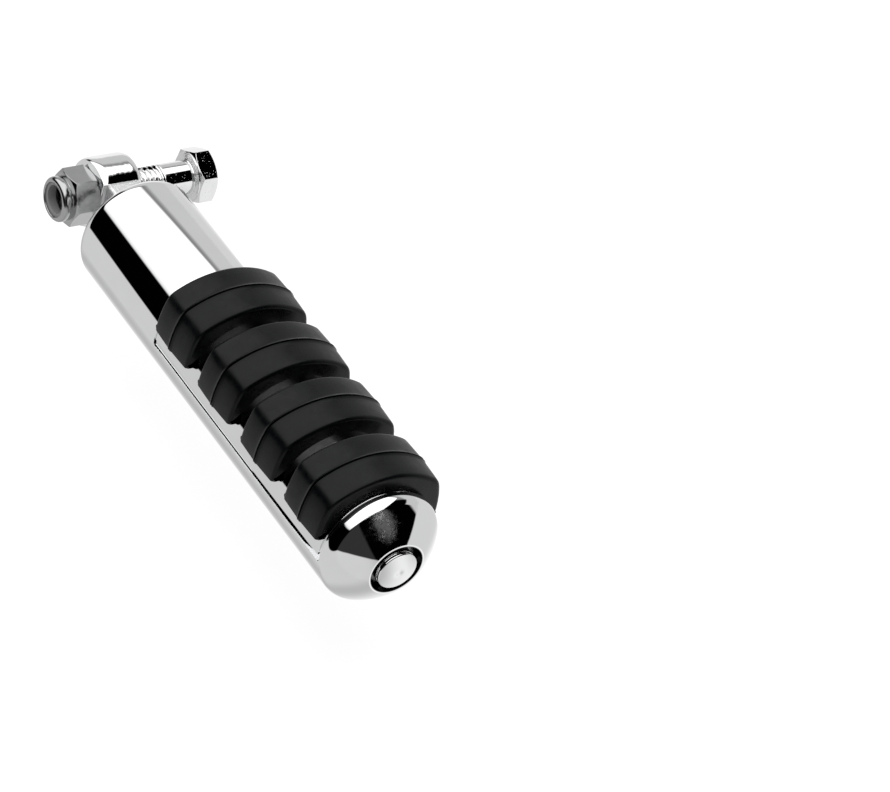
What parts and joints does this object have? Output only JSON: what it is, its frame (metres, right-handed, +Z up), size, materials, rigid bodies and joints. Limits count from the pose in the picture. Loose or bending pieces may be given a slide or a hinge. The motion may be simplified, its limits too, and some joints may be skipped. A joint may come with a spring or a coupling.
{
  "type": "folding foot peg",
  "caption": "Folding foot peg: round chromed body with split rubber tread pads over a window, and a male mount that hinges on a pivot bolt with a lock nut.",
  "frame": {"origin": "where the pivot axis crosses the peg's long axis, inside the lug", "axes": "+X along the peg to its outboard end, +Y along the pivot bolt to its head, +Z up through the tread with the peg folded down"},
  "size_m": [0.172, 0.051, 0.0388],
  "materials": {
    "body_chrome": "polished plating",
    "core_chrome": "polished plating, slightly wavy casting",
    "tread_rubber": "satin moulded",
    "isolator_rubber": "matte",
    "boss_rubber": "matte",
    "mount_chrome": "plated over a rough casting, polished on the lug",
    "screw_steel": "plated",
    "washer_steel": "zinc plated",
    "cap_chrome": "polished plating",
    "bolt_zinc": "bright plating with turned rings under the head",
    "nut_steel": "zinc plated",
    "insert_nylon": "moulded"
  },
  "bodies": {
    "pivot": {"pivot_bolt": "bolt_zinc", "pivot_nut": "nut_steel", "nut_insert": "insert_nylon"},
    "mount": {"male_mount": "mount_chrome", "clamp_screw": "screw_steel", "flat_washer": "washer_steel", "lock_washer": "washer_steel", "screw_cap": "cap_chrome"},
    "peg": {"body_shell": "body_chrome", "pad_core": "core_chrome", "tread_pad_1_inboard": "tread_rubber", "tread_pad_1_outboard": "tread_rubber", "tread_pad_2_inboard": "tread_rubber", "tread_pad_2_outboard": "tread_rubber", "tread_pad_3_inboard": "tread_rubber", "tread_pad_3_outboard": "tread_rubber", "tread_pad_4_inboard": "tread_rubber", "tread_pad_4_outboard": "tread_rubber", "inboard_isolator": "isolator_rubber", "outboard_isolator": "isolator_rubber", "boss_ring": "boss_rubber"}
  },
  "joints": [
    {"name": "fold", "type": "hinge", "parent": "pivot", "child": "mount", "pos_m": [0, 0, 0], "axis": [0, -1, 0], "range_deg": [0, 90]},
    {"name": "swivel", "type": "hinge", "parent": "mount", "child": "peg", "pos_m": [0.022, 0, 0], "axis": [1, 0, 0], "continuous": true}
  ]
}
